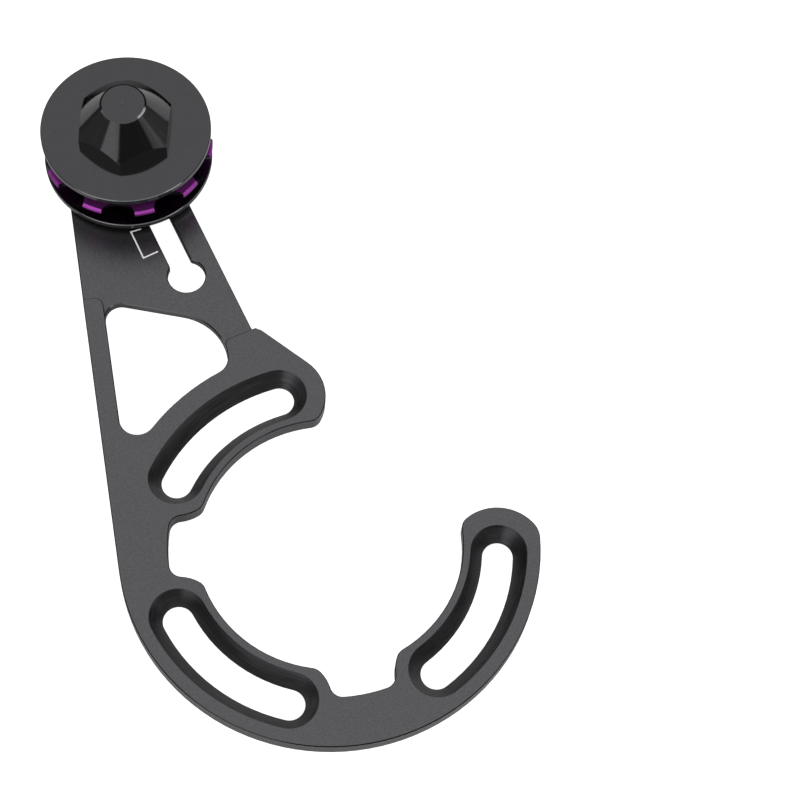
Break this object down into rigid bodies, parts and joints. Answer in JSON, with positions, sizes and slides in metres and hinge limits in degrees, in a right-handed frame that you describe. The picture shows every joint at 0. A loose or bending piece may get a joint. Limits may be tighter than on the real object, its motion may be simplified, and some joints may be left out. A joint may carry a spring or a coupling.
{
  "type": "bicycle chain guide",
  "caption": "Flat bolt-on guide arm with a hooked foot, arc slots and a toothed chain roller between two flanges, set up or down in a keyhole slot.",
  "frame": {"origin": "centre of the arm's bolt circle, on the arm's flat back face", "axes": "+Z out of the face that carries the roller, +Y up the arm from the hook to the roller"},
  "size_m": [0.1248, 0.1544, 0.0295],
  "materials": {
    "black_anodised_plate": "fine blasted, black anodised",
    "black_anodised_turned": "turned, black anodised, semi-gloss",
    "purple_anodised": "milled, purple anodised",
    "black_oxide_steel": "black oxide",
    "ground_steel": "ground bearing steel",
    "nylon": "natural moulded nylon"
  },
  "bodies": {
    "arm": {"guide_arm": "black_anodised_plate"},
    "carrier": {"clamp_screw": "black_oxide_steel", "slot_spacer": "black_anodised_turned", "inner_flange": "black_anodised_turned", "inner_spacer": "black_anodised_turned", "bearing_inner_ring": "ground_steel", "outer_spacer": "black_anodised_turned", "outer_flange": "black_anodised_turned", "hub_cone": "black_anodised_turned"},
    "wheel": {"toothed_wheel": "purple_anodised", "bearing_outer_ring": "ground_steel", "inner_shield": "ground_steel", "outer_shield": "ground_steel"},
    "cage": {"bearing_cage": "nylon", "bearing_balls": "ground_steel"}
  },
  "joints": [
    {"name": "roller_slide", "type": "slide", "parent": "arm", "child": "carrier", "axis": [-0.5373, 0.8434, 0], "range_m": [-0.0253, 0.0022]},
    {"name": "wheel_spin", "type": "hinge", "parent": "carrier", "child": "wheel", "pos_m": [-0.05947, 0.08925, 0.00965], "axis": [0, 0, 1], "continuous": true},
    {"name": "cage_spin", "type": "hinge", "parent": "carrier", "child": "cage", "pos_m": [-0.05947, 0.08925, 0.00965], "axis": [0, 0, 1], "continuous": true}
  ],
  "couplings": [
    {"joint": "cage_spin", "follows": "wheel_spin", "ratio": 0.63227}
  ]
}
